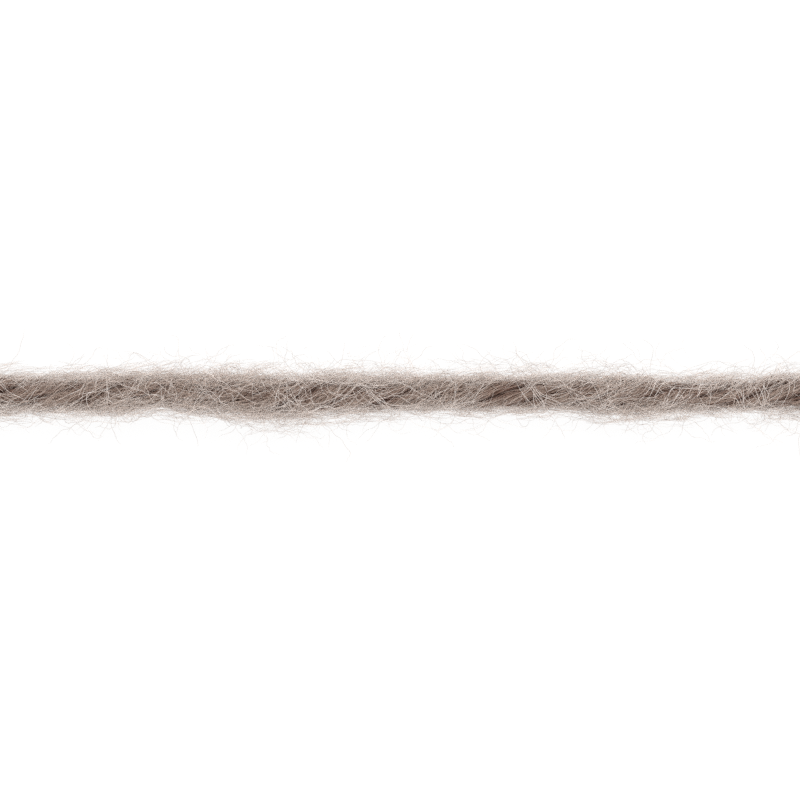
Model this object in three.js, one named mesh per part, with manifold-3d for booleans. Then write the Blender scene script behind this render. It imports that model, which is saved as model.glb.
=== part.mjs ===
// Softly spun knitting yarn: one cut strand of an aran weight, lying straight on a flat surface.
// Millimetres, +Z up. The strand runs along X, and the origin is on its flattened underside,
// halfway along. Four fibre bundles twist round each other (S twist), locks of nap leave them
// on every side, and the longest loose locks lie level on the surface.

import * as THREE from 'three';
import { mergeVertices } from 'three/addons/utils/BufferGeometryUtils.js';
import Module from 'manifold-3d';

// The spun body
const STRAND_LENGTH = 80;
const TWIST_LEAD = 16; // length of one full turn of the twist
const TWIST_START = -40; // degrees, where the first bundle's back lies round the strand at x = 0
const BUNDLES = 4;
const GROOVE_DEPTH = 0.3; // between two bundles, as a share of the body's radius
const REST_HEIGHT = 0.84; // axis above the surface, as a share of the body's radius
const END_TAPER_LENGTH = 0.6;
const END_RING = 0.2; // distance of one more ring of points from each end, where the taper is steepest
const END_TAPER = 0.8; // radius of the cut face as a share of the body's radius

// Thick and thin places along the strand: where, how wide, and how far the body wanders sideways
const UNEVENNESS = [
  { x: -40.0, width: 2.62, sway: 0.06 },
  { x: -32.0, width: 2.74, sway: 0.14 },
  { x: -27.0, width: 2.52, sway: -0.02 },
  { x: -22.4, width: 2.68, sway: 0.04 },
  { x: -19.0, width: 2.44, sway: 0.22 },
  { x: -16.0, width: 2.62, sway: 0.12 },
  { x: -11.2, width: 2.92, sway: -0.16 },
  { x: -6.4, width: 2.94, sway: -0.08 },
  { x: -1.6, width: 2.56, sway: -0.06 },
  { x: 3.2, width: 2.38, sway: 0.05 },
  { x: 8.0, width: 2.60, sway: 0.02 },
  { x: 12.0, width: 2.34, sway: 0.05 },
  { x: 16.0, width: 2.66, sway: -0.1 },
  { x: 20.0, width: 2.44, sway: -0.06 },
  { x: 24.0, width: 2.2, sway: -0.16 },
  { x: 27.2, width: 2.26, sway: -0.12 },
  { x: 31.0, width: 2.56, sway: 0.06 },
  { x: 35.5, width: 2.66, sway: 0.02 },
  { x: 40.0, width: 2.5, sway: -0.04 },
];

// Locks of loose fibre: how many, how far their tips stand from the strand's axis, how far they travel
// along the strand, how thick they are at the root, how many steps their meshes have, and, for those
// that leave the body in the air, between which directions round it (0 is +Y, 90 the top)
const NAP = { count: 60, reach: [1.6, 2.4], run: [2.4, 5.2], thickness: 0.24, steps: 4, round: [-12, 192] };
const AIRBORNE = { count: 12, reach: [2.4, 4.2], run: [4, 9], thickness: 0.18, steps: 6, round: [20, 160] };
const LEVEL = { count: 32, reach: [2, 7], run: [5, 12], thickness: 0.2, steps: 6 };
const FRAY = { count: 6, reach: [0.4, 1.2], run: [2.6, 4.2], thickness: 0.26, steps: 3 };

const LOCK_SIDES = 3;
const LOCK_TIP = 0.42; // thickness of a tip as a share of the root's
const LEVEL_RIDGE = 1.5; // height of a level lock's ridge as a share of half its thickness
const AIR_ROOT = 0.5; // depth of a root inside the body, as a share of the body's radius
const LEVEL_ROOT = 0.1; // distance of a root from the axis, in the body's flat foot
const FRAY_ROOT = 0.3; // distance of a root from the axis
const FRAY_DEPTH = 1; // how far inside the cut end a frayed lock starts
const AIR_LEAN = 1.2; // radians that a lock's direction round the body turns at most along it
const LEVEL_BOW = 0.27; // greatest sideways bow, as a share of the way from the body to the tip
const RARE_LONG_REACH = 2; // above 1, most level locks stay near the body and few reach far
const END_MARGIN = 3; // no lock but the frayed ones leaves the body this close to an end
const TURN_BACK = 32; // beyond this place, locks run towards the middle of the strand
const JITTER = [0.2, 0.8]; // where in its even share of the strand's length each lock may leave the body
const GOLDEN = 0.618; // spreads the locks' directions evenly round the body

// The courses that locks follow: share of the run, and how much of the way from the body's surface
// (or a frayed root) to the tip's reach is done there
const AIR_COURSE = [
  { run: 0.22, rise: 0 },
  { run: 0.6, rise: 0.7 },
  { run: 1, rise: 1 },
];
const LEVEL_COURSE = [
  { run: 0.18, rise: 0 },
  { run: 0.45, rise: 0.45, bow: 1 },
  { run: 0.75, rise: 0.85, bow: 1 },
  { run: 1, rise: 1 },
];
const FRAY_COURSE = [
  { run: 0.4, rise: 0.3 },
  { run: 1, rise: 1 },
];

// Fineness of the mesh
const POINTS_ROUND = 24;
const STEP_LENGTH = 0.9;
const MERGE_DISTANCE = 1e-5; // points closer than this are one

const WOOL = { color: 0x97897f, roughness: 0.95, metalness: 0 };

const between = (range, share) => range[0] + (range[1] - range[0]) * share;

// A repeatable spread of numbers from 0 to 1, so that each build gives the same strand
function spread(seed) {
  let state = seed;
  return () => {
    state = (state * 1664525 + 1013904223) % 4294967296;
    return state / 4294967296;
  };
}

// Smooth value of a column of the unevenness table at a place along the strand
function along(column, x) {
  const last = UNEVENNESS.length - 1;
  const held = Math.min(Math.max(x, UNEVENNESS[0].x), UNEVENNESS[last].x);
  const next = Math.max(1, UNEVENNESS.findIndex((row) => row.x >= held));
  const from = UNEVENNESS[next - 1];
  const to = UNEVENNESS[next];
  return THREE.MathUtils.lerp(
    from[column],
    to[column],
    THREE.MathUtils.smoothstep(held, from.x, to.x),
  );
}

const bodyRadius = (x) => along('width', x) / 2;
const axisPoint = (x) => new THREE.Vector3(x, along('sway', x), REST_HEIGHT * bodyRadius(x));

// Seen from above, fibres of an S twist climb towards +Y as they run towards +X
const turnAt = (x) => THREE.MathUtils.degToRad(TWIST_START) - 2 * Math.PI * x / TWIST_LEAD;

// Round-backed bundles with a crease where two of them meet
function bundleShape(angle) {
  const crest = Math.abs(Math.cos(BUNDLES * angle / 2));
  return 1 - GROOVE_DEPTH * (1 - Math.sqrt(crest));
}

function endTaper(x) {
  const fromEnd = STRAND_LENGTH / 2 - Math.abs(x);
  const share = Math.min(1, fromEnd / END_TAPER_LENGTH);
  return THREE.MathUtils.lerp(END_TAPER, 1, Math.sqrt(share));
}

// A closed solid from rings of points, with a fan over each end
function ringsToGeometry(rings) {
  const size = rings[0].length;
  const positions = rings.flat().flatMap((point) => point.toArray());
  const faces = [];
  for (let ring = 0; ring + 1 < rings.length; ring++) {
    for (let k = 0; k < size; k++) {
      const a = ring * size + k;
      const b = ring * size + (k + 1) % size;
      faces.push(a, b, a + size, b, b + size, a + size);
    }
  }
  for (const [ring, forward] of [[0, false], [rings.length - 1, true]]) {
    const centre = new THREE.Vector3();
    rings[ring].forEach((point) => centre.addScaledVector(point, 1 / size));
    const middle = positions.length / 3;
    positions.push(...centre.toArray());
    for (let k = 0; k < size; k++) {
      const a = ring * size + k;
      const b = ring * size + (k + 1) % size;
      faces.push(...(forward ? [a, b, middle] : [b, a, middle]));
    }
  }
  const geometry = new THREE.BufferGeometry();
  geometry.setAttribute('position', new THREE.Float32BufferAttribute(positions, 3));
  geometry.setIndex(faces);
  return geometry;
}

// The body's rings follow the twist, so that each bundle's back and crease lie along its edges.
// Whatever would sink below the surface is pressed flat on it.
function bodyGeometry() {
  const steps = Math.round(STRAND_LENGTH / STEP_LENGTH);
  const places = [];
  for (let i = 0; i <= steps; i++) places.push(-STRAND_LENGTH / 2 + i * STRAND_LENGTH / steps);
  places.splice(1, 0, places[0] + END_RING);
  places.splice(places.length - 1, 0, places.at(-1) - END_RING);
  const rings = places.map((x) => {
    const centre = axisPoint(x);
    const ring = [];
    for (let k = 0; k < POINTS_ROUND; k++) {
      const angle = 2 * Math.PI * k / POINTS_ROUND;
      const radius = bodyRadius(x) * endTaper(x) * bundleShape(angle);
      const y = centre.y + radius * Math.cos(angle + turnAt(x));
      const z = centre.z + radius * Math.sin(angle + turnAt(x));
      ring.push(new THREE.Vector3(x, y, Math.max(0, z)));
    }
    return ring;
  });
  return ringsToGeometry(rings);
}

// A lock is a tapering three-sided tube along a curve. A level one has a side flat on the surface.
function lockGeometry(curve, { thickness, steps }, level) {
  const rings = [];
  for (let i = 0; i <= steps; i++) {
    const share = i / steps;
    const centre = curve.getPoint(share);
    const ahead = curve.getTangent(share);
    const across = new THREE.Vector3(0, 0, 1).cross(ahead).normalize();
    const up = ahead.clone().cross(across);
    const radius = thickness / 2 * THREE.MathUtils.lerp(1, LOCK_TIP, share);
    const ring = [];
    for (let k = 0; k < LOCK_SIDES; k++) {
      const angle = 2 * Math.PI * k / LOCK_SIDES + Math.PI / 2;
      const point = centre.clone();
      point.addScaledVector(across, radius * Math.cos(angle));
      point.addScaledVector(up, radius * Math.sin(angle));
      if (level) point.z = k === 0 ? LEVEL_RIDGE * radius : 0;
      ring.push(point);
    }
    rings.push(ring);
  }
  return ringsToGeometry(rings);
}

// A lock's curve, from its root out to its reach. place turns a share of the run and a distance from
// the axis into a point, and bend bows the course to one side or the other.
function courseCurve(course, place, root, surface, reach, bend = 0) {
  const points = course.map(({ run, rise, bow = 0 }) =>
    place(run, THREE.MathUtils.lerp(surface, reach, rise + bow * bend)));
  return new THREE.CatmullRomCurve3([place(0, root), ...points]);
}

// A lock that leaves the body at an angle round it, bends away and runs on beside the strand
function airCurve(kind, x, angle, heading, draw) {
  const start = axisPoint(x);
  const radius = bodyRadius(x);
  const reach = between(kind.reach, draw());
  const run = heading * between(kind.run, draw());
  const lean = (draw() - 0.5) * AIR_LEAN;
  const place = (share, out) => new THREE.Vector3(
    x + run * share,
    start.y + out * Math.cos(angle + lean * share),
    Math.max(kind.thickness, start.z + out * Math.sin(angle + lean * share)),
  );
  return courseCurve(AIR_COURSE, place, radius * AIR_ROOT, radius, reach);
}

// A long lock that lies on the surface beside the strand
function levelCurve(kind, x, side, heading, draw) {
  const start = axisPoint(x);
  const reach = between(kind.reach, draw() ** RARE_LONG_REACH);
  const run = heading * between(kind.run, draw());
  const bend = (draw() - 0.5) * LEVEL_BOW;
  const place = (share, out) => new THREE.Vector3(x + run * share, start.y + side * out, 0);
  return courseCurve(LEVEL_COURSE, place, LEVEL_ROOT, bodyRadius(x), reach, bend);
}

// Frayed fibres that stand a little past a cut end
function frayCurve(kind, end, angle, draw) {
  const x = end * (STRAND_LENGTH / 2 - FRAY_DEPTH);
  const start = axisPoint(x);
  const reach = between(kind.reach, draw());
  const run = end * between(kind.run, draw());
  const place = (share, out) => new THREE.Vector3(
    x + run * share,
    start.y + out * Math.cos(angle),
    Math.max(kind.thickness, start.z + out * Math.sin(angle)),
  );
  return courseCurve(FRAY_COURSE, place, FRAY_ROOT, FRAY_ROOT, reach);
}

// Every lock of the strand, each with its kind and whether it lies level on the surface
function lockCurves() {
  const draw = spread(3);
  const locks = [];
  const placeOf = (kind, i) =>
    (STRAND_LENGTH - 2 * END_MARGIN) * ((i + between(JITTER, draw())) / kind.count - 0.5);
  const headingAt = (x) => {
    const either = draw() < 0.5 ? 1 : -1;
    return Math.abs(x) > TURN_BACK ? -Math.sign(x) : either;
  };
  for (const kind of [NAP, AIRBORNE]) {
    for (let i = 0; i < kind.count; i++) {
      const x = placeOf(kind, i);
      const angle = THREE.MathUtils.degToRad(between(kind.round, (i * GOLDEN) % 1));
      locks.push([airCurve(kind, x, angle, headingAt(x), draw), kind, false]);
    }
  }
  for (let i = 0; i < LEVEL.count; i++) {
    const x = placeOf(LEVEL, i);
    locks.push([levelCurve(LEVEL, x, i % 2 ? 1 : -1, headingAt(x), draw), LEVEL, true]);
  }
  for (const end of [-1, 1]) {
    for (let i = 0; i < FRAY.count; i++) {
      const angle = 2 * Math.PI * (i + 0.5 * draw()) / FRAY.count;
      locks.push([frayCurve(FRAY, end, angle, draw), FRAY, false]);
    }
  }
  return locks;
}

const wasm = await Module();
wasm.setup();

function toSolid(geometry) {
  const merged = mergeVertices(geometry, MERGE_DISTANCE);
  return new wasm.Manifold(new wasm.Mesh({
    numProp: 3,
    vertProperties: new Float32Array(merged.attributes.position.array),
    triVerts: new Uint32Array(merged.index.array),
  }));
}

function toGeometry(solid) {
  const mesh = solid.getMesh();
  const geometry = new THREE.BufferGeometry();
  geometry.setAttribute('position', new THREE.BufferAttribute(mesh.vertProperties, 3));
  geometry.setIndex(new THREE.BufferAttribute(mesh.triVerts, 1));
  geometry.computeVertexNormals();
  return geometry;
}

function strandGeometry() {
  let strand = toSolid(bodyGeometry());
  for (const [curve, kind, level] of lockCurves()) {
    strand = strand.add(toSolid(lockGeometry(curve, kind, level)));
  }
  // Locks that cross can shut in a pocket. The outermost shell alone leaves it filled.
  const shells = strand.decompose().sort((a, b) => b.volume() - a.volume());
  return toGeometry(shells[0]);
}

const strand = new THREE.Mesh(strandGeometry(), new THREE.MeshStandardMaterial(WOOL));
strand.name = 'yarn_strand';

const part = new THREE.Group();
part.add(strand);

export default part;
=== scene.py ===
"""A softly spun knitting yarn: one cut strand, lying straight on a white board.

Its looks are made of modelled fibres. A dark spun core stands in for the packed fibres that hardly show,
bundle fibres wind round it, and cover fibres and pale crossing fibres lie over them. Nap, a fine haze and
flyaways stand off the body, curls lie loose on the floor beside it, and cut fibres fray at its ends. Sizes
are in millimetres, with the strand along X, and become metres where a mesh is made.
"""

import math
from collections import namedtuple

import bpy
import numpy as np
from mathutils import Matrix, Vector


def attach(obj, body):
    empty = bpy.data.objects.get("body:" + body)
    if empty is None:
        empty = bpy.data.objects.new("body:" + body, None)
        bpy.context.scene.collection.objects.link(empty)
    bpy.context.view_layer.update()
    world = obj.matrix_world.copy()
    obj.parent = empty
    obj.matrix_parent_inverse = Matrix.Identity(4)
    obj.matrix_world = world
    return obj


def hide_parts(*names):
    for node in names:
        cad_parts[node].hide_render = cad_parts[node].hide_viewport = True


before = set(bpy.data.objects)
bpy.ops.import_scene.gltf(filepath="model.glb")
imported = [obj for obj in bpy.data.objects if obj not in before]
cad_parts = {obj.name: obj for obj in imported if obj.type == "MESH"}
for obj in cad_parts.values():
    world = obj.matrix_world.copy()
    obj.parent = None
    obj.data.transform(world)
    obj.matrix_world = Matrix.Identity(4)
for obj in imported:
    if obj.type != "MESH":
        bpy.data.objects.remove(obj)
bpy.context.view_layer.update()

METRE = 0.001

# The strand, as in the part, except that its creases are a little deeper here
STRAND_LENGTH = 80.0
TWIST_LEAD = 16.0  # length of one turn of the twist
TWIST_START = math.radians(-40)
BUNDLES = 4
GROOVE_DEPTH = 0.32  # depth of the crease between two bundles, as a share of the body's radius
REST_HEIGHT = 0.84  # height of the axis above the floor, as a share of the body's radius

# Thick and thin places: where, how wide, and how far the body wanders sideways
Place = namedtuple("Place", "x width sway")
UNEVENNESS = [
    Place(-40.0, 2.62, 0.06),
    Place(-32.0, 2.74, 0.14),
    Place(-27.0, 2.52, -0.02),
    Place(-22.4, 2.68, 0.04),
    Place(-19.0, 2.44, 0.22),
    Place(-16.0, 2.62, 0.12),
    Place(-11.2, 2.92, -0.16),
    Place(-6.4, 2.94, -0.08),
    Place(-1.6, 2.56, -0.06),
    Place(3.2, 2.38, 0.05),
    Place(8.0, 2.60, 0.02),
    Place(12.0, 2.34, 0.05),
    Place(16.0, 2.66, -0.1),
    Place(20.0, 2.44, -0.06),
    Place(24.0, 2.2, -0.16),
    Place(27.2, 2.26, -0.12),
    Place(31.0, 2.56, 0.06),
    Place(35.5, 2.66, 0.02),
    Place(40.0, 2.5, -0.04),
]

# Where loose fibres crowd, and where they are thin and the spun bundles show through: place along the
# strand, reach, side (0 is +Y, 90 the top, 180 is -Y) and how many more or fewer fibres there are
Clump = namedtuple("Clump", "x reach side strength")
CLUMPS = [
    Clump(-30.0, 2.6, 90, -0.8),
    Clump(-27.2, 0.7, 90, 0.5),
    Clump(-25.2, 1.2, 90, -0.8),
    Clump(-22.6, 1.2, 90, 3.2),
    Clump(-20.4, 0.8, 90, -0.6),
    Clump(-17.8, 1.6, 80, 3.2),
    Clump(-16.0, 3.4, 10, 0.4),
    Clump(-13.0, 2.0, 90, 1.5),
    Clump(-9.5, 3.2, 185, 1.5),
    Clump(-3.6, 2.4, 80, 0.9),
    Clump(4.4, 2.0, 90, 1.9),
    Clump(8.6, 2.4, 90, -1.2),
    Clump(14.2, 1.4, 90, -0.6),
    Clump(17.4, 1.4, 90, 3.0),
    Clump(22.0, 1.6, 90, -0.6),
    Clump(30.2, 4.0, 90, -1.2),
    Clump(-24.0, 9.0, 190, 0.6),
    Clump(21.5, 3.0, 190, 0.7),
    Clump(31.0, 1.6, 5, 1.0),
    Clump(-31.5, 2.4, 185, 0.8),
]
CLUMP_SPREAD = math.radians(65)  # how far a clump reaches round the strand
LEAST_FUZZ = 0.05  # the fewest loose fibres that a thin place keeps


def column(rows, name):
    return np.array([getattr(row, name) for row in rows])


def along(name, x):
    """Smooth value of a column of the unevenness table at places along the strand."""
    places = column(UNEVENNESS, "x")
    values = column(UNEVENNESS, name)
    held = np.clip(x, places[0], places[-1])
    after = np.clip(np.searchsorted(places, held), 1, len(places) - 1)
    share = (held - places[after - 1]) / (places[after] - places[after - 1])
    share = share * share * (3 - 2 * share)
    return values[after - 1] * (1 - share) + values[after] * share


def body_radius(x):
    return along("width", x) / 2


def turn_at(x):
    return TWIST_START - 2 * math.pi * x / TWIST_LEAD


def crest(x, angle):
    """1 on the round back of a bundle, 0 in the crease where two of them meet."""
    return np.sqrt(np.abs(np.cos(BUNDLES * (angle - turn_at(x)) / 2)))


def around(x, angle, height, groove=GROOVE_DEPTH):
    """Points round the axis: angle runs from +Y towards +Z, and height is a share of the body's radius."""
    radius = body_radius(x)
    out = height * radius * (1 - groove * (1 - crest(x, angle)))
    y = along("sway", x) + out * np.cos(angle)
    z = REST_HEIGHT * radius + out * np.sin(angle)
    return np.stack([x, y, z], axis=-1)


# Studio

PHOTO_SIDE = 64.0  # how much of the strand the picture's frame takes in
AXIS_ABOVE_MIDDLE = 0.51  # the strand crosses the picture a little above its middle
BOARD_GRAIN = 0.8  # size of the board's matt grain
SKY_LOW, SKY_TOP = 1.3, 0.95  # brightness of the tent near the board and overhead
PHOTO_LEVEL = 1.2  # height above the floor, near the strand's middle, at which PHOTO_SIDE is measured
LENS = 100.0
SENSOR = 36.0
BOARD_RADIUS = 3000.0
BOARD_DROP = 0.02  # how far the board lies below the strand, so that the two don't flicker


def linear(colour):
    """An sRGB hex colour as linear red, green, blue and alpha."""
    parts = [int(colour[i:i + 2], 16) / 255 for i in (0, 2, 4)]
    return [c / 12.92 if c <= 0.04045 else ((c + 0.055) / 1.055) ** 2.4 for c in parts] + [1.0]


def add_node(tree, kind, inputs=(), **settings):
    """Adds a shader node, sets its properties and fills or links its inputs."""
    made = tree.nodes.new(kind)
    for name, value in settings.items():
        setattr(made, name, value)
    for socket, value in dict(inputs).items():
        if isinstance(value, bpy.types.NodeSocket):
            tree.links.new(value, made.inputs[socket])
        else:
            made.inputs[socket].default_value = value
    return made


def empty_material(name):
    material = bpy.data.materials.new(name)
    material.use_nodes = True
    material.node_tree.nodes.clear()
    return material, material.node_tree


def set_camera():
    """A long lens that looks straight down on the strand."""
    data = bpy.data.cameras.new("macro_camera")
    data.lens = LENS
    data.sensor_width = SENSOR
    data.clip_start = 0.005
    data.clip_end = 20.0
    camera = bpy.data.objects.new("macro_camera", data)
    distance = PHOTO_SIDE * LENS / SENSOR
    camera.location = (0, -AXIS_ABOVE_MIDDLE * METRE, (distance + PHOTO_LEVEL) * METRE)
    bpy.context.collection.objects.link(camera)
    bpy.context.scene.camera = camera


def studio_floor():
    """A white board that shines evenly, as one lit from below does, so that only the yarn is drawn on it."""
    bpy.ops.mesh.primitive_circle_add(
        vertices=64, radius=BOARD_RADIUS * METRE, fill_type="NGON", location=(0, 0, -BOARD_DROP * METRE)
    )
    floor = bpy.context.object
    floor.name = "studio_floor"
    material, tree = empty_material("matt_white_board")
    place = add_node(tree, "ShaderNodeTexCoord")
    grain = add_node(tree, "ShaderNodeTexNoise", {
        "Vector": place.outputs["Object"],
        "Scale": 1 / (BOARD_GRAIN * METRE),
    })
    board = add_node(tree, "ShaderNodeBsdfPrincipled", {
        "Base Color": linear("5e5e5d"),
        "Roughness": 0.9,
        "Specular IOR Level": 0.1,
        "Emission Color": linear("ffffff"),
        "Emission Strength": 0.88,
    })
    bump = add_node(tree, "ShaderNodeBump", {
        "Strength": 0.5,
        "Distance": 0.01 * METRE,
        "Height": grain.outputs["Fac"],
    })
    tree.links.new(bump.outputs[0], board.inputs["Normal"])
    add_node(tree, "ShaderNodeOutputMaterial", {"Surface": board.outputs[0]})
    floor.data.materials.append(material)


def softbox(name, place, size, watts):
    """A lamp behind a cloth, in metres, turned towards the strand."""
    data = bpy.data.lights.new(name, "AREA")
    data.shape = "RECTANGLE"
    data.size, data.size_y = size
    data.energy = watts
    box = bpy.data.objects.new(name, data)
    box.location = place
    box.rotation_euler = Vector(place).to_track_quat("Z", "Y").to_euler()
    bpy.context.collection.objects.link(box)


def light_tent():
    """White cloth all round, brightest low down, and two softboxes that give the fibres their form."""
    world = bpy.data.worlds.new("light_tent")
    bpy.context.scene.world = world
    world.use_nodes = True
    tree = world.node_tree
    way = add_node(tree, "ShaderNodeTexCoord")
    parts = add_node(tree, "ShaderNodeSeparateXYZ", {"Vector": way.outputs["Generated"]})
    glow = add_node(tree, "ShaderNodeMapRange", {
        "Value": parts.outputs["Z"], "From Min": 0.2, "From Max": 1.0, "To Min": SKY_LOW, "To Max": SKY_TOP,
    })
    background = tree.nodes["Background"]
    background.inputs["Color"].default_value = linear("ffffff")
    tree.links.new(glow.outputs[0], background.inputs["Strength"])
    softbox("softbox_back", (0.05, 0.5, 0.35), (0.6, 0.3), 2.0)
    softbox("softbox_front", (-0.05, -0.5, 0.35), (0.6, 0.3), 0.5)
    bpy.context.scene.view_settings.view_transform = "Standard"
    bpy.context.scene.cycles.use_denoising = False  # it would smear the finest fibres


# The spun core

CORE_HEIGHT = 0.68  # how far the packed fibres reach, as a share of the body's radius
CORE_POINTS = 72  # points round it
CORE_STEP = 0.4  # distance between its rings
CORE_ROUGH = 0.008  # unevenness of its skin, as a share of the body's radius
CORE_END_RUN = 0.8  # how far from each end the core begins to draw in
CORE_END = 0.6  # what is left of its width at the cut
CORE_CROWN = 0.3  # how far its rounded end stands past the cut
SPLITS = 19  # finer strands of fibre within the bundles
SPLIT_DEPTH = 0.05  # how deep the lines between those strands are
CREASE_PAINTED_SHADE = 0.64  # painted shade: how much darker the wool is drawn down in a crease
OVER_UNDER_PAINTED_SHADE = 0.32  # painted shade: how much darker the nap and haze are drawn over and under the body than at its sides
STRIP_EDGE = 0.1  # bare edge of each tube's strip on the map, as a share of its width
STRIP_END = 0.08  # share of a strip that each cap takes


def end_taper(x):
    """The share of the core's width that is left near each end."""
    share = np.clip((STRAND_LENGTH / 2 - np.abs(x)) / CORE_END_RUN, 0, 1)
    return CORE_END + (1 - CORE_END) * np.sqrt(share)


def axis_points(x):
    return np.stack([x, along("sway", x), REST_HEIGHT * body_radius(x)], axis=-1)


def strip_map(count, steps, sides, near, far, lift):
    """Map places of the corners of closed tubes, unrolled side by side in strips: walls in the middle, caps
    at the foot and head. near and far name the points of the rim in each triangle of a cap, and lift says
    which of its corners stand off the rim."""
    rows = max(1, round(math.sqrt(count * sides / (2 * steps))))
    columns = math.ceil(count / rows)
    tube = np.arange(count)[:, None, None, None]
    side = np.arange(sides)[:, None] + [0, 1, 1, 0]
    step = np.arange(steps - 1)[:, None, None] + [0, 0, 1, 1]
    rim = STRIP_END * (1 - np.array(lift))

    def placed(side, height):
        across = tube % columns + STRIP_EDGE + (1 - 2 * STRIP_EDGE) * side / sides
        up = tube // columns + height
        return np.stack(np.broadcast_arrays(across / columns, up / rows), axis=-1).reshape(-1, 2)

    walls = placed(side, STRIP_END + (1 - 2 * STRIP_END) * step / (steps - 1))
    return np.concatenate([walls, placed(np.array(near), rim), placed(np.array(far), 1 - rim)])


def mesh_object(name, points, quads, triangles, places, material):
    """A smooth closed mesh from points in millimetres, lists of faces and their corners' map places."""
    mesh = bpy.data.meshes.new(name)
    corners = np.concatenate([quads.ravel(), triangles.ravel()])
    sizes = np.concatenate([np.full(len(quads), 4), np.full(len(triangles), 3)])
    mesh.vertices.add(len(points))
    mesh.vertices.foreach_set("co", (points * METRE).ravel())
    mesh.loops.add(len(corners))
    mesh.loops.foreach_set("vertex_index", corners)
    mesh.polygons.add(len(sizes))
    mesh.polygons.foreach_set("loop_start", np.cumsum(sizes) - sizes)
    mesh.polygons.foreach_set("use_smooth", np.ones(len(sizes), bool))
    mesh.uv_layers.new(name="OFBake", do_init=False).uv.foreach_set("vector", places.ravel())
    mesh.update(calc_edges=True)
    mesh.validate()
    made = bpy.data.objects.new(name, mesh)
    bpy.context.collection.objects.link(made)
    mesh.materials.append(material)
    return made


def spun_core(material):
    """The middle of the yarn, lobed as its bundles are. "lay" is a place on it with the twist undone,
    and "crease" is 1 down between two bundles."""
    rng = np.random.default_rng(5)
    x = np.arange(-STRAND_LENGTH / 2, STRAND_LENGTH / 2 + CORE_STEP / 2, CORE_STEP)
    angle = np.linspace(0, 2 * math.pi, CORE_POINTS, endpoint=False)
    grid_x, grid_angle = np.meshgrid(x, angle, indexing="ij")
    turned = grid_angle + turn_at(grid_x)
    split = np.sin(SPLITS * grid_angle + 1.6 * np.sin(3 * grid_angle) + 0.9 * np.sin(grid_x / 3.1))
    height = CORE_HEIGHT * (1 - SPLIT_DEPTH * (0.5 - 0.5 * split)) * end_taper(grid_x)
    height = height + rng.normal(0, CORE_ROUGH, height.shape)
    points = around(grid_x, turned, height)
    points[..., 2] = np.maximum(points[..., 2], CLEARANCE)
    rings, sides = grid_x.shape
    index = np.arange(rings * sides).reshape(rings, sides)
    beside = np.roll(index, -1, axis=1)
    quads = np.stack([index[:-1], beside[:-1], beside[1:], index[1:]], axis=-1).reshape(-1, 4)
    ends = axis_points(x[[0, -1]]) + [[-CORE_CROWN, 0, 0], [CORE_CROWN, 0, 0]]
    near, far = rings * sides, rings * sides + 1
    first = np.stack([beside[0], index[0], np.full(sides, near)], axis=-1)
    last = np.stack([index[-1], beside[-1], np.full(sides, far)], axis=-1)
    points = np.concatenate([points.reshape(-1, 3), ends])
    rim = np.arange(sides)[:, None]
    places = strip_map(1, rings, sides, rim + [1, 0, 0], rim + [0, 1, 0], (0, 0, 1))
    made = mesh_object("spun_core", points, quads, np.concatenate([first, last]), places, material)
    out = height * body_radius(grid_x)
    lay = np.stack([grid_x, out * np.cos(grid_angle), out * np.sin(grid_angle)], axis=-1).reshape(-1, 3)
    middles = np.stack([x[[0, -1]], np.zeros(2), np.zeros(2)], axis=-1)
    made.data.attributes.new("lay", "FLOAT_VECTOR", "POINT").data.foreach_set(
        "vector", np.concatenate([lay, middles]).ravel()
    )
    crease = np.append((1 - crest(grid_x, turned)).ravel(), [0.5, 0.5])
    made.data.attributes.new("crease", "FLOAT", "POINT").data.foreach_set("value", crease)
    return made, x


# Fibres

SIDES = 3  # a fibre is a three-sided tube
TIP = 0.25  # thickness of its tips, as a share of its middle's
CLEARANCE = 0.03  # lowest that the core or a fibre's middle may lie above the floor
ALONG_CELLS, ROUND_CELLS = 400, 36  # cells of the chart of where fibres grow
FLOOR_LIFT = 0.25  # mean height of a loose curl above the floor
FRAY_ROOT = 1.6  # how deep in the strand the fibres of an end's brush start
CUT_ENDS = (-0.5, 0.6)  # where fibres end beside the cut, short of it or past it
COMBED = 0.2  # how steeply the haze on the +Y side leaves the body, as if combed towards +X
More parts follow.
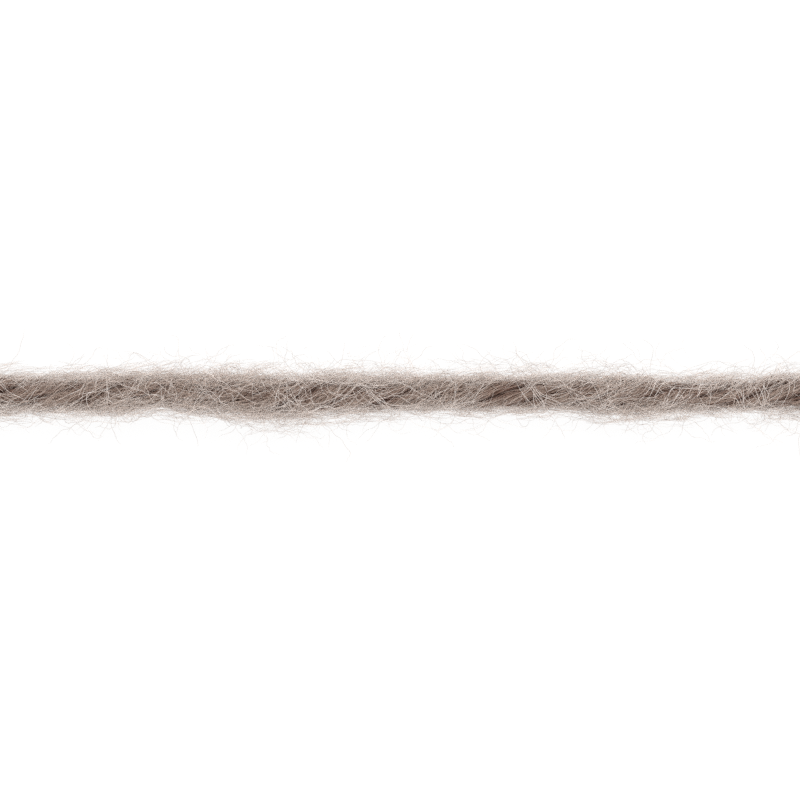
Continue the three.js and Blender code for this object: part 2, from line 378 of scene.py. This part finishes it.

# The kinds of fibre. steps is the points in each, crimp the depth of its waves and waves their length. tone
# is 0 for the darkest wool and 1 for the palest. The length of the frayed ends comes on top of FRAY_ROOT.
# Wool is 0.02 to 0.035 mm thick. The fibres of the bundles and the ends are drawn coarser, and so are most of
# the cover's and some of the crossing ones, so that they show and hide the core. Some loose ones are finer.
# The tones are partly painted shade: kinds lying deeper in the body are given darker wool than those on top.
Kind = namedtuple("Kind", "seed count steps length thickness crimp waves tone")
KINDS = {
    "bundle_fibres": Kind(11, 3600, 9, (3.0, 6.5), (0.036, 0.056), (0.01, 0.04), (1.2, 2.4), (0.42, 0.56)),
    "cover_fibres": Kind(12, 2100, 10, (2.0, 5.0), (0.03, 0.044), (0.01, 0.05), (1.2, 2.4), (0.45, 0.65)),
    "crossing_fibres": Kind(24, 660, 16, (2.8, 6.5), (0.025, 0.041), (0.01, 0.05), (1.4, 2.8), (0.9, 1.05)),
    "nap": Kind(14, 2000, 10, (1.0, 3.2), (0.02, 0.03), (0.03, 0.09), (0.8, 1.6), (0.7, 1.0)),
    "haze_near": Kind(17, 4700, 6, (1.4, 4.0), (0.016, 0.024), (0.01, 0.05), (1.4, 2.6), (0.75, 1.0)),
    "haze_far": Kind(18, 4700, 6, (1.4, 4.0), (0.016, 0.024), (0.01, 0.05), (1.4, 2.6), (0.75, 1.0)),
    "flyaways": Kind(15, 1050, 20, (1.5, 6.5), (0.018, 0.027), (0.04, 0.14), (0.8, 1.9), (0.75, 1.0)),
    "floor_curls": Kind(19, 380, 20, (2.0, 5.5), (0.018, 0.027), (0.03, 0.1), (0.8, 1.8), (0.75, 1.0)),
    "end_fray": Kind(16, 640, 8, CUT_ENDS, (0.035, 0.055), (0.02, 0.08), (1.0, 2.0), (0.55, 0.95)),
}

# How fibres gather in tufts: how many in each, how far they ignore the clumps (1 is wholly), how wide a tuft
# reaches, and how many more there are on the sides of the strand than on its top
Tuft = namedtuple("Tuft", "fibres evenness reach flanks")
COVER_TUFT = Tuft(8, 0.3, 0.45, 0.0)
CROSSING_TUFT = Tuft(6, 0.1, 0.38, 0.0)
NAP_TUFT = Tuft(5, 0.12, 0.4, 5.0)
HAZE_TUFT = Tuft(7, 0.15, 0.5, 9.0)
FLYAWAY_TUFT = Tuft(4, 0.3, 0.5, 2.0)
FLOOR_TUFT = Tuft(4, 0.1, 0.8, 30.0)

# How fibres climb round the body, in radians: the mean and the spread of a tuft's climb, the spread of a
# fibre's own, and how far and how often it bends away from that
Climb = namedtuple("Climb", "mean spread own stray bends")
COVER_CLIMB = Climb(0.14, 0.2, 0.14, 0.28, 3)
NAP_CLIMB = Climb(0.45, 0.5, 0.2, 0.3, 2)
HAZE_CLIMB = Climb(0.36, 0.28, 0.14, 0.22, 2)

# Crossing fibres climb one way, the other or straight across: up to which share of the tufts, and how steeply
# on average and with what spread, in degrees
Way = namedtuple("Way", "up_to mean spread")
CROSSING_WAYS = [Way(0.64, 48, 16), Way(0.91, -48, 18), Way(1.0, 82, 16)]
CROSSING_OWN = 15  # spread of a fibre's own climb, in degrees
CROSSING_STRAY = 0.45  # how far it bends away from that, in radians

# How far each kind reaches from the axis, as a share of the body's radius
BUNDLE_LAYER = (0.7, 0.86)
COVER_LAYER = (0.78, 0.93)
CROSSING_LAYER = (0.94, 1.08)
CROSSING_SINK = 0.3  # how far crossing fibres follow a crease down, as a share of its depth
NAP_ROOT, NAP_RISE = 0.88, 1.0
HAZE_ROOT, HAZE_RISE = 0.85, 0.85
FLYAWAY_ROOT = 0.9


def fuzz_density(x, angle):
    """How thick the loose fibres grow, against 1 where no clump changes it."""
    total = np.ones_like(x)
    for row in CLUMPS:
        away = np.angle(np.exp(1j * (angle - math.radians(row.side))))
        total += row.strength * np.exp(-(((x - row.x) / row.reach) ** 2) - (away / CLUMP_SPREAD) ** 2)
    return np.maximum(total, LEAST_FUZZ)


def scattered(rng, count, evenness, flanks=0.0):
    """Places along and round the strand, crowded where it is fuzzy."""
    cell, slice_ = STRAND_LENGTH / ALONG_CELLS, 2 * math.pi / ROUND_CELLS
    x = (np.arange(ALONG_CELLS) + 0.5) * cell - STRAND_LENGTH / 2
    angle = (np.arange(ROUND_CELLS) + 0.5) * slice_ - math.pi / 2
    grid_x, grid_angle = (grid.ravel() for grid in np.meshgrid(x, angle, indexing="ij"))
    weight = evenness + (1 - evenness) * fuzz_density(grid_x, grid_angle)
    weight = weight * (1 + flanks * np.cos(grid_angle) ** 2)
    pick = rng.choice(len(weight), count, p=weight / weight.sum())
    return (
        grid_x[pick] + rng.uniform(-0.5, 0.5, count) * cell,
        grid_angle[pick] + rng.uniform(-0.5, 0.5, count) * slice_,
    )


def tufted(rng, count, gathered):
    """Places gathered in tufts, which tuft each belongs to, and how many tufts there are."""
    tufts = count // gathered.fibres
    tuft_x, tuft_angle = scattered(rng, tufts, gathered.evenness, gathered.flanks)
    tuft = rng.integers(0, tufts, count)
    x = tuft_x[tuft] + rng.normal(0, gathered.reach, count)
    angle = tuft_angle[tuft] + rng.normal(0, gathered.reach, count) / body_radius(x)
    return x, angle, tuft, tufts


def wander(rng, count, steps, waves):
    """Smooth random waves between -1 and 1, one row for each fibre."""
    t = np.linspace(0, 1, steps)
    total = np.zeros((count, steps))
    for wave in range(1, waves + 1):
        phase = rng.uniform(0, 2 * math.pi, (count, 1))
        rate = rng.uniform(0.5, 1.0, (count, 1)) * wave
        total += np.sin(2 * math.pi * rate * t + phase) / wave
    return total / sum(1 / wave for wave in range(1, waves + 1))


def between(rng, limits, count):
    return rng.uniform(limits[0], limits[1], count)


def headings(rng, climb, base, steps):
    """How each fibre climbs at each of its points: base, with a spread and a bend of its own."""
    own = base + rng.normal(0, climb.own, len(base))
    return own[:, None] + climb.stray * wander(rng, len(base), steps, climb.bends)


def unit(vectors):
    return vectors / np.linalg.norm(vectors, axis=-1, keepdims=True)


def crimped(rng, paths, length, kind):
    """Waves across each path, in two planes, as a wool fibre has."""
    count, steps, _ = paths.shape
    ahead = unit(np.gradient(paths, axis=1))
    mean = ahead.mean(axis=1)
    least = np.eye(3)[np.argmin(np.abs(mean), axis=1)]
    aside = unit(np.cross(ahead, least[:, None, :]))
    above = np.cross(ahead, aside)
    t = np.linspace(0, 1, steps)
    wavelength = between(rng, kind.waves, (count, 1))
    turns = length[:, None] / wavelength * t
    depth = between(rng, kind.crimp, (count, 1)) * (0.7 + 0.3 * wander(rng, count, steps, 3))
    spin = rng.uniform(0, 2 * math.pi, (count, 1))
    one = depth * np.sin(2 * math.pi * turns + spin)
    other = 0.6 * depth * np.sin(2 * math.pi * turns * 0.77 + rng.uniform(0, 2 * math.pi, (count, 1)))
    return paths + one[..., None] * aside + other[..., None] * above


def laid_paths(rng, x, angle, heading, length, height, groove=GROOVE_DEPTH):
    """Paths round the body, through their places at mid length. heading is the climb from the strand's
    line, and height the distance from its axis as a share of its radius, both for each step. A fibre that
    would pass the cut end is drawn back to end there, a little short of it or past it."""
    steps = heading.shape[1]
    ds = (length / (steps - 1))[:, None]
    travel = np.cumsum(np.cos(heading) * ds, axis=1)
    travel -= travel[:, steps // 2][:, None]
    places = x[:, None] + travel
    end = (STRAND_LENGTH / 2 + between(rng, CUT_ENDS, len(x)))[:, None]
    places -= np.maximum(places.max(axis=1, keepdims=True) - end, 0)
    places += np.maximum(-end - places.min(axis=1, keepdims=True), 0)
    turning = -np.cumsum(np.sin(heading) * ds / (height * body_radius(places)), axis=1)
    turning -= turning[:, steps // 2][:, None]
    angles = angle[:, None] + turning
    return around(places, angles, height, groove), crest(places, angles)


def fibre_mesh(name, paths, thickness, tone, material):
    """One closed three-sided tube along each path, thinner towards its ends."""
    count, steps, _ = paths.shape
    paths[..., 2] = np.maximum(paths[..., 2], CLEARANCE)
    ahead = unit(np.gradient(paths, axis=1))
    mean = ahead.mean(axis=1)
    least = np.eye(3)[np.argmin(np.abs(mean), axis=1)]
    aside = unit(np.cross(ahead, least[:, None, :]))
    above = np.cross(ahead, aside)
    t = np.linspace(-1, 1, steps)
    radius = thickness[:, None] / 2 * (1 - (1 - TIP) * t**6)
    turn = 2 * math.pi * np.arange(SIDES) / SIDES
    points = paths[:, :, None, :] + radius[:, :, None, None] * (
        np.cos(turn)[:, None] * aside[:, :, None, :] + np.sin(turn)[:, None] * above[:, :, None, :]
    )
    index = np.arange(count * steps * SIDES).reshape(count, steps, SIDES)
    beside = np.roll(index, -1, axis=2)
    quads = np.stack(
        [index[:, :-1], beside[:, :-1], beside[:, 1:], index[:, 1:]], axis=-1
    ).reshape(-1, 4)
    caps = np.concatenate([index[:, 0, ::-1], index[:, -1]])
    places = strip_map(count, steps, SIDES, (0, 1, 2), (2, 1, 0), (0, 1, 0))
    made = mesh_object(name, points.reshape(-1, 3), quads, caps, places, material)
    shades = np.repeat(np.broadcast_to(tone.reshape(count, -1), (count, steps)), SIDES, axis=1)
    made.data.attributes.new("tone", "FLOAT", "POINT").data.foreach_set("value", shades.ravel())
    return made


def twist_climb(height, x):
    """How steeply a fibre that follows the twist climbs, at a share of the body's radius."""
    return np.arctan(2 * math.pi * height * body_radius(x) / TWIST_LEAD)


def bundle_fibres(name, material):
    """Fibres deep in the bundles, in finer strands of one shade each, all along the twist."""
    kind = KINDS[name]
    rng = np.random.default_rng(kind.seed)
    count, steps = kind.count, kind.steps
    x, _ = scattered(rng, count, 1.0)
    strand = rng.integers(0, SPLITS, count)
    strand_angle = (np.arange(SPLITS) + rng.uniform(-0.25, 0.25, SPLITS)) * 2 * math.pi / SPLITS
    strand_tone = rng.uniform(-0.06, 0.06, SPLITS)
    offset = np.clip(rng.normal(0, 0.33, count), -0.9, 0.9)
    angle = strand_angle[strand] + offset * 2 * math.pi / SPLITS + turn_at(x)
    length = between(rng, kind.length, count)
    top = between(rng, BUNDLE_LAYER, count) - 0.05 * offset**2
    heading = 0.04 + twist_climb(top, x)[:, None] + 0.1 * (
        rng.normal(0, 1, (count, 1)) + 0.8 * wander(rng, count, steps, 2)
    )
    height = top[:, None] + 0.02 * wander(rng, count, steps, 3)
    paths, ridge = laid_paths(rng, x, angle, heading, length, height)
    paths = crimped(rng, paths, length, kind)
    # painted shade: a fibre lying deeper in the bundle is drawn darker, one lying higher paler
    own = between(rng, kind.tone, count) + strand_tone[strand] + 0.9 * (top - sum(BUNDLE_LAYER) / 2)
    # painted shade: the fibres are drawn darker down in a crease between two bundles
    tone = own[:, None] - CREASE_PAINTED_SHADE * (1 - ridge)
    return fibre_mesh(name, paths, between(rng, kind.thickness, count), tone, material)


def cover_fibres(name, material):
    """Looser fibres over the bundles, mostly along the twist, that bridge the creases here and there."""
    kind = KINDS[name]
    rng = np.random.default_rng(kind.seed)
    count, steps = kind.count, kind.steps
    x, angle, tuft, tufts = tufted(rng, count, COVER_TUFT)
    tuft_climb = rng.normal(COVER_CLIMB.mean, COVER_CLIMB.spread, tufts)
    tuft_tone = rng.normal(0, 0.09, tufts)
    length = between(rng, kind.length, count)
    heading = headings(rng, COVER_CLIMB, twist_climb(0.9, x) + tuft_climb[tuft], steps)
    height = between(rng, COVER_LAYER, count)[:, None] + 0.03 * wander(rng, count, steps, 2)
    paths, ridge = laid_paths(rng, x, angle, heading, length, height)
    paths = crimped(rng, paths, length, kind)
    # painted shade: the fibres are drawn darker down in a crease between two bundles
    tone = (between(rng, kind.tone, count) + tuft_tone[tuft])[:, None] - CREASE_PAINTED_SHADE * (1 - ridge)
    return fibre_mesh(name, paths, between(rng, kind.thickness, count), tone, material)


def crossing_fibres(name, material):
    """Pale fibres over the body in loose tufts, steeper than the twist, some against it or straight across."""
    kind = KINDS[name]
    rng = np.random.default_rng(kind.seed)
    count, steps = kind.count, kind.steps
    x, angle, tuft, tufts = tufted(rng, count, CROSSING_TUFT)
    way = np.searchsorted(column(CROSSING_WAYS, "up_to"), rng.random(tufts), side="right")
    tuft_climb = np.choose(way, [rng.normal(row.mean, row.spread, tufts) for row in CROSSING_WAYS])
    length = between(rng, kind.length, count)
    own_climb = np.radians(tuft_climb[tuft] + rng.normal(0, CROSSING_OWN, count))
    heading = own_climb[:, None] + CROSSING_STRAY * wander(rng, count, steps, 2)
    height = between(rng, CROSSING_LAYER, count)[:, None] + 0.05 * wander(rng, count, steps, 2)
    paths, _ = laid_paths(rng, x, angle, heading, length, height, CROSSING_SINK * GROOVE_DEPTH)
    paths = crimped(rng, paths, length, kind)
    tone = between(rng, kind.tone, count)
    return fibre_mesh(name, paths, between(rng, kind.thickness, count), tone, material)


def nap(name, material):
    """Short curled fibres that stand off the body in a soft haze, thick close by and soon thinning out."""
    kind = KINDS[name]
    rng = np.random.default_rng(kind.seed)
    count, steps = kind.count, kind.steps
    x, angle, tuft, tufts = tufted(rng, count, NAP_TUFT)
    tuft_climb = rng.normal(NAP_CLIMB.mean, NAP_CLIMB.spread, tufts)
    tuft_rise = 0.12 + 0.2 * rng.exponential(1, tufts)
    length = between(rng, kind.length, count)
    heading = headings(rng, NAP_CLIMB, tuft_climb[tuft], steps)
    rise = np.minimum(tuft_rise[tuft] + 0.16 * rng.exponential(1, count), NAP_RISE)
    t = np.linspace(0, 1, steps)
    arch = np.sin(math.pi * t[None, :] ** between(rng, (0.45, 1.6), (count, 1)))
    height = NAP_ROOT + rise[:, None] * arch + 0.05 * wander(rng, count, steps, 2)
    paths, _ = laid_paths(rng, x, angle, heading, length, height, 0)
    paths = crimped(rng, paths, length, kind)
    # painted shade: the nap is drawn darker over and under the body than at its sides
    tone = between(rng, kind.tone, count) - OVER_UNDER_PAINTED_SHADE * np.sin(angle) ** 4
    return fibre_mesh(name, paths, between(rng, kind.thickness, count), tone, material)


def haze(name, material):
    """Very fine matted fibres just off the body, combed together in tufts, which blur its edge."""
    kind = KINDS[name]
    rng = np.random.default_rng(kind.seed)
    count, steps = kind.count, kind.steps
    x, angle, tuft, tufts = tufted(rng, count, HAZE_TUFT)
    tuft_climb = rng.normal(HAZE_CLIMB.mean, HAZE_CLIMB.spread, tufts)
    tuft_height = HAZE_ROOT + np.minimum(0.28 * rng.exponential(1, tufts), HAZE_RISE)
    length = between(rng, kind.length, count)
    heading = headings(rng, HAZE_CLIMB, tuft_climb[tuft], steps)
    height = (tuft_height[tuft] + rng.normal(0, 0.06, count))[:, None]
    height = height + 0.07 * wander(rng, count, steps, 2)
    leaving = COMBED * length * np.maximum(np.cos(angle), 0) / body_radius(x)
    height = height + leaving[:, None] * np.linspace(-0.5, 0.5, steps)
    paths, _ = laid_paths(rng, x, angle, heading, length, height, 0)
    paths = crimped(rng, paths, length, kind)
    # painted shade: the haze is drawn darker over and under the body than at its sides
    tone = between(rng, kind.tone, count) - OVER_UNDER_PAINTED_SHADE * np.sin(angle) ** 4
    return fibre_mesh(name, paths, between(rng, kind.thickness, count), tone, material)


def flying_paths(rng, x, angle, length, lift, sink, stray, steps):
    """Paths that leave the body, rise and sink again as they run along it."""
    count = len(x)
    root = around(x, angle, np.full(count, FLYAWAY_ROOT))
    way = np.where(rng.random(count) < 0.5, -1.0, 1.0)[:, None]
    t = np.linspace(0, 1, steps)
    rise = lift[:, None] * (1 - sink[:, None] * t) + 0.5 * stray * wander(rng, count, steps, 3)
    climb = stray * (rng.normal(0, 1, (count, 1)) + wander(rng, count, steps, 2))
    out = np.stack([np.zeros(count), np.cos(angle), np.sin(angle)], axis=-1)[:, None, :]
    side = np.stack([np.zeros(count), -np.sin(angle), np.cos(angle)], axis=-1)[:, None, :]
    line = np.array([1.0, 0.0, 0.0])
    ahead = (
        (way * np.cos(rise) * np.cos(climb))[..., None] * line
        - (way * np.cos(rise) * np.sin(climb))[..., None] * side
        + np.sin(rise)[..., None] * out
    )
    moved = np.cumsum(ahead, axis=1) * (length / (steps - 1))[:, None, None]
    return root[:, None, :] + moved - moved[:, :1]


def flyaways(name, material):
    """Fine frizzy fibres that stray off the body in loose sprays or lie on the floor beside it."""
    kind = KINDS[name]
    rng = np.random.default_rng(kind.seed)
    count, steps = kind.count, kind.steps
    x, angle, tuft, tufts = tufted(rng, count, FLYAWAY_TUFT)
    tuft_lift = np.abs(rng.normal(0.2, 0.35, tufts))
    length = between(rng, kind.length, count)
    lift = tuft_lift[tuft] + np.abs(rng.normal(0, 0.25, count))
    sink = rng.uniform(0.6, 2.4, count)
    paths = flying_paths(rng, x, angle, length, lift, sink, 0.9, steps)
    paths = crimped(rng, paths, length, kind)
    tone = between(rng, kind.tone, count)
    return fibre_mesh(name, paths, between(rng, kind.thickness, count), tone, material)


def floor_curls(name, material):
    """Fine curled fibres that have come loose and lie tangled on the floor beside the body."""
    kind = KINDS[name]
    rng = np.random.default_rng(kind.seed)
    count, steps = kind.count, kind.steps
    x, angle, tuft, tufts = tufted(rng, count, FLOOR_TUFT)
    side = np.where(np.cos(angle) > 0, 1.0, -1.0)
    length = between(rng, kind.length, count)
    apart = (0.95 + np.minimum(0.4 * rng.exponential(1, tufts), 1.0))[tuft] * body_radius(x)
    way = rng.normal(0, 0.45, (count, 1)) + 0.9 * wander(rng, count, steps, 3)
    ds = (length / (steps - 1))[:, None]
    travel = np.cumsum(np.cos(way) * ds, axis=1)
    drift = np.cumsum(np.sin(way) * ds, axis=1)
    travel -= travel[:, steps // 2][:, None]
    drift -= drift[:, steps // 2][:, None]
    y = (along("sway", x) + side * apart)[:, None] + drift
    z = FLOOR_LIFT * (1 + wander(rng, count, steps, 3))
    paths = np.stack([x[:, None] + travel, y, z], axis=-1)
    paths = crimped(rng, paths, length, kind)
    tone = between(rng, kind.tone, count)
    return fibre_mesh(name, paths, between(rng, kind.thickness, count), tone, material)


def end_fray(name, material):
    """The brush of cut fibres that fills each end and fans out a little past it."""
    kind = KINDS[name]
    rng = np.random.default_rng(kind.seed)
    count, steps = kind.count, kind.steps
    end = np.where(rng.random(count) < 0.5, -1.0, 1.0)
    angle = rng.uniform(0, 2 * math.pi, count)
    height = 0.9 * np.sqrt(rng.random(count))
    root = around(end * (STRAND_LENGTH / 2 - FRAY_ROOT), angle, height)
    past = between(rng, kind.length, count)
    length = FRAY_ROOT + past + 0.4 * rng.exponential(1, count) + 0.6 * (1 - height)
    fan = (0.05 + 0.35 * rng.random(count)) * height
    t = np.linspace(0, 1, steps)
    out = np.stack([np.zeros(count), np.cos(angle), np.sin(angle)], axis=-1)[:, None, :]
    away = np.stack([end, np.zeros(count), np.zeros(count)], axis=-1)[:, None, :]
    paths = root[:, None, :] + length[:, None, None] * (
        t[None, :, None] * away + (fan[:, None] * t**2)[..., None] * out
    )
    paths = crimped(rng, paths, length, kind)
    tone = between(rng, kind.tone, count)
    return fibre_mesh(name, paths, between(rng, kind.thickness, count), tone, material)


# Finishes

MOTTLE = 0.9  # size of the patches in which the wool's shade changes
MOTTLE_DEPTH = 0.3  # how much it changes there
STREAK_LENGTH, STREAK_WIDTH = 1.0, 0.08  # a few fibres packed side by side


def wool_fibre(name, stops, sheen):
    """Undyed grey-brown wool, softly spun. It gives the eye matt fibres with a faint silky sheen, each of a
    slightly different shade. The stops are its colours from the darkest fibre to the palest."""
    material, tree = empty_material(name)
    tone = add_node(tree, "ShaderNodeAttribute", attribute_name="tone")
    place = add_node(tree, "ShaderNodeTexCoord")
    mottle = add_node(tree, "ShaderNodeTexNoise", {
        "Vector": place.outputs["Object"],
        "Scale": 1 / (MOTTLE * METRE),
        "Detail": 2.0,
    })
    change = add_node(tree, "ShaderNodeMath", {
        0: mottle.outputs["Fac"], 1: MOTTLE_DEPTH, 2: -MOTTLE_DEPTH / 2,
    }, operation="MULTIPLY_ADD")
    shade = add_node(tree, "ShaderNodeMath", {0: tone.outputs["Fac"], 1: change.outputs[0]}, operation="ADD")
    ramp = add_node(tree, "ShaderNodeValToRGB", {"Fac": shade.outputs[0]})
    set_stops(ramp.color_ramp, stops)
    rough = add_node(tree, "ShaderNodeMapRange", {
        "Value": mottle.outputs["Fac"], "To Min": 0.5, "To Max": 0.75,
    })
    fibre = add_node(tree, "ShaderNodeBsdfPrincipled", {
        "Base Color": ramp.outputs["Color"],
        "Roughness": rough.outputs[0],
        "IOR": 1.55,
        "Specular IOR Level": 0.2,
        "Sheen Weight": sheen,
        "Sheen Roughness": 0.4,
    })
    add_node(tree, "ShaderNodeOutputMaterial", {"Surface": fibre.outputs[0]})
    return material


def set_stops(ramp, stops):
    while len(ramp.elements) < len(stops):
        ramp.elements.new(1.0)
    for element, (place, colour) in zip(ramp.elements, stops):
        element.position = place
        element.color = linear(colour)


def packed_wool(name):
    """Wool packed by the spinning, seen between the fibres on top: the eye gets a dark, matt depth that is
    streaked along the twist. Its dark colours are painted shade of that depth, and it is painted darkest where
    two bundles meet."""
    material, tree = empty_material(name)
    lay = add_node(tree, "ShaderNodeAttribute", attribute_name="lay")
    stretch = add_node(tree, "ShaderNodeMapping", {
        "Vector": lay.outputs["Vector"],
        "Scale": (1 / STREAK_LENGTH, 1 / STREAK_WIDTH, 1 / STREAK_WIDTH),
    })
    streak = add_node(tree, "ShaderNodeTexNoise", {"Vector": stretch.outputs[0], "Scale": 1.0, "Detail": 4.0})
    crease = add_node(tree, "ShaderNodeAttribute", attribute_name="crease")
    # painted shade: the core is drawn darker where "crease" is 1, down between two bundles
    shade = add_node(tree, "ShaderNodeMath", {
        0: crease.outputs["Fac"], 1: -CREASE_PAINTED_SHADE, 2: streak.outputs["Fac"],
    }, operation="MULTIPLY_ADD")
    ramp = add_node(tree, "ShaderNodeValToRGB", {"Fac": shade.outputs[0]})
    # painted shade: dark stops for the depth seen between the fibres
    set_stops(ramp.color_ramp, [(0.05, "432d24"), (0.4, "6f5448"), (0.75, "8f7568")])
    bump = add_node(tree, "ShaderNodeBump", {
        "Strength": 0.6,
        "Distance": 0.05 * METRE,
        "Height": streak.outputs["Fac"],
    })
    wool = add_node(tree, "ShaderNodeBsdfPrincipled", {
        "Base Color": ramp.outputs["Color"],
        "Roughness": 0.9,
        "Specular IOR Level": 0.2,
        "Normal": bump.outputs[0],
    })
    add_node(tree, "ShaderNodeOutputMaterial", {"Surface": wool.outputs[0]})
    return material


set_camera()
core, core_x = spun_core(packed_wool("packed_wool"))
centreline = [tuple(point * METRE) for point in axis_points(core_x)]

shades = [(0.0, "5a4035"), (0.3, "8f7366"), (0.62, "b8a497"), (1.0, "f2e9e3")]
body_wool = wool_fibre("spun_wool", shades, 0.1)
loose_wool = wool_fibre("loose_wool", shades, 0.15)  # a little silkier, as loose wool catches more light

pieces = [
    bundle_fibres("bundle_fibres", body_wool),
    cover_fibres("cover_fibres", body_wool),
    crossing_fibres("crossing_fibres", loose_wool),
    nap("nap", loose_wool),
    haze("haze_near", loose_wool),
    haze("haze_far", loose_wool),
    flyaways("flyaways", loose_wool),
    floor_curls("floor_curls", loose_wool),
    end_fray("end_fray", body_wool),
]

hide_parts("yarn_strand")
for piece in [core, *pieces]:
    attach(piece, "root")

studio_floor()
light_tent()
